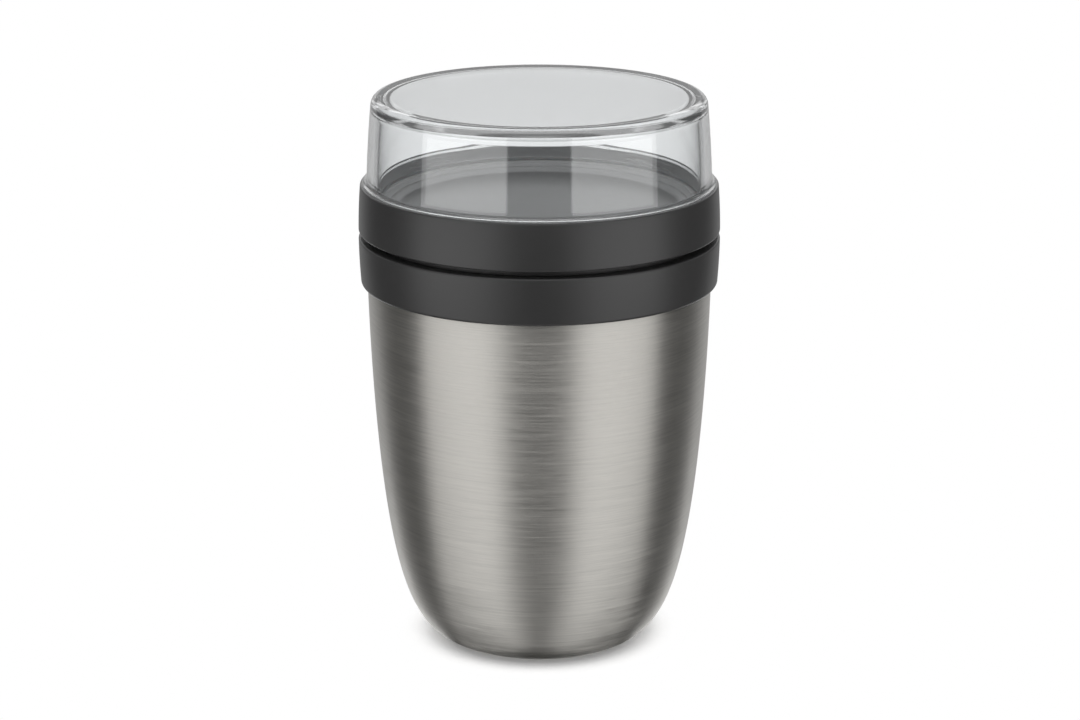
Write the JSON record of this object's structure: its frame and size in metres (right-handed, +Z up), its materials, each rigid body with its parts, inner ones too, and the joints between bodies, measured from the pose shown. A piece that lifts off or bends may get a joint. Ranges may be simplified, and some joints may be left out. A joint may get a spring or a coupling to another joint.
{
  "type": "insulated food container",
  "caption": "Egg-shaped steel food pot with a vacuum wall, a screw divider that makes an upper dish, and a clear screw lid.",
  "frame": {"origin": "centre of the flat base, on the table", "axes": "+Z up the pot's axis of turning; the part is round about it, and X is only a reference"},
  "size_m": [0.107, 0.107, 0.1657],
  "materials": {
    "brushed_shell": "fine brushing round the body",
    "polished_liner": "satin, electropolished",
    "foil": "bright, slightly creased",
    "base_steel": "pressed, satin",
    "getter": "sintered, grainy",
    "spring_steel": "cold rolled",
    "braze": "melted, slightly dull",
    "pad_rubber": "matt",
    "charcoal_plastic": "satin, very fine grain",
    "plug_plastic": "satin",
    "seal_silicone": "soft, translucent grey",
    "foam": "closed-cell foam",
    "clear_plastic": "clear, polished"
  },
  "bodies": {
    "vessel": {"outer_shell": "brushed_shell", "inner_liner": "polished_liner", "radiation_foil": "foil", "base_plate": "base_steel", "getter_pellet": "getter", "getter_clip": "spring_steel", "vacuum_bead": "braze", "base_pad": "pad_rubber", "lower_collar": "charcoal_plastic", "collar_seal": "seal_silicone"},
    "divider_ring": {"divider_seal": "seal_silicone"},
    "divider_cap": {"divider": "charcoal_plastic", "plug_cup": "plug_plastic", "insulation_disc": "foam"},
    "lid_ring": {"lid_seal": "seal_silicone"},
    "lid": {"clear_lid": "clear_plastic"}
  },
  "joints": [
    {"name": "divider_lift", "type": "slide", "parent": "vessel", "child": "divider_ring", "axis": [0, 0, 1], "range_m": [0, 0.027]},
    {"name": "divider_turn", "type": "hinge", "parent": "divider_ring", "child": "divider_cap", "pos_m": [0, 0, 0.13095], "axis": [0, 0, 1], "range_deg": [0, 540]},
    {"name": "lid_lift", "type": "slide", "parent": "divider_cap", "child": "lid_ring", "axis": [0, 0, 1], "range_m": [0, 0.018]},
    {"name": "lid_turn", "type": "hinge", "parent": "lid_ring", "child": "lid", "pos_m": [0, 0, 0.13555], "axis": [0, 0, 1], "range_deg": [0, 540]}
  ],
  "couplings": [
    {"joint": "divider_lift", "follows": "divider_turn", "m_per_rad": 0.0028648},
    {"joint": "lid_lift", "follows": "lid_turn", "m_per_rad": 0.0019099}
  ]
}
